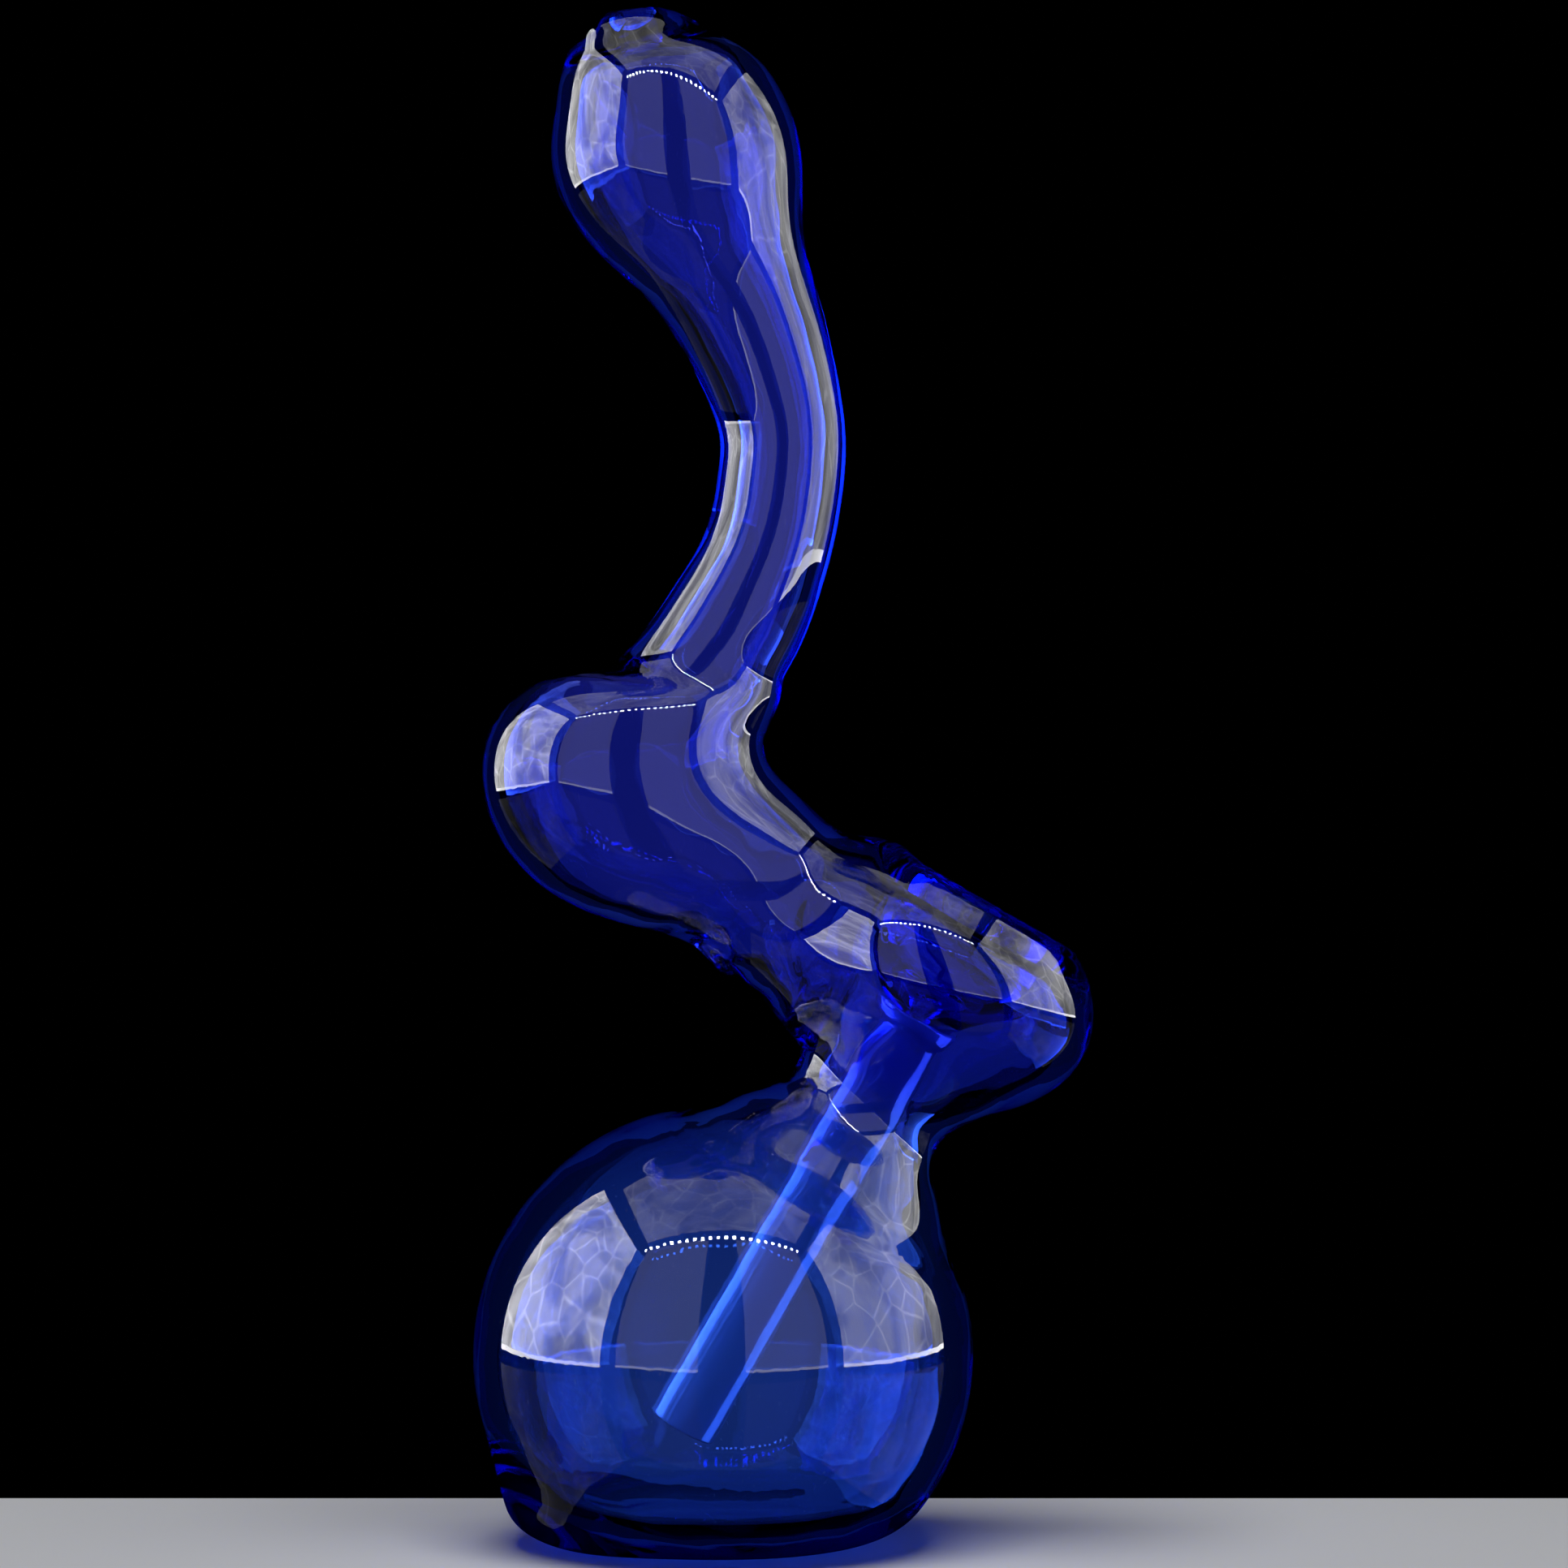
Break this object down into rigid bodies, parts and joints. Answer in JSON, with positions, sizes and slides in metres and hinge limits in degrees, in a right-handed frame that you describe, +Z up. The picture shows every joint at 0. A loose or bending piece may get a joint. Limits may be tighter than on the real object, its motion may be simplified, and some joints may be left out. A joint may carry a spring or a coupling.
{
  "type": "glass water pipe",
  "caption": "Blown cobalt glass water pipe: round flat-bottomed water chamber, leaning bowl with an inner downstem, zig-zag waist, middle bulb and S-bend neck with a mouthpiece bulb.",
  "frame": {"origin": "on the flat foot, straight under the centre of the ball-shaped chamber, on the surface it stands on", "axes": "+Z up, +X towards the side the bowl head leans to, XZ is the plane of symmetry"},
  "size_m": [0.0794, 0.064, 0.1967],
  "materials": {
    "cobalt_glass": "clear deep cobalt glass, flame polished",
    "light_cobalt_glass": "clear cobalt glass of a lighter shade, flame polished",
    "pale_blue_glass": "clear pale blue drawn tubing, cut square",
    "violet_glass": "clear violet-blue glass, flame polished"
  },
  "bodies": {
    "root": {"base_chamber": "light_cobalt_glass", "throat": "cobalt_glass", "bowl_head": "cobalt_glass", "bowl_cup": "violet_glass", "downstem": "pale_blue_glass", "stem_collar": "pale_blue_glass", "waist": "cobalt_glass", "carb_ring": "cobalt_glass", "middle_bulb": "cobalt_glass", "lower_neck": "cobalt_glass", "upper_neck": "cobalt_glass", "mouth_bulb": "cobalt_glass", "mouth_lip": "cobalt_glass"}
  },
  "joints": []
}
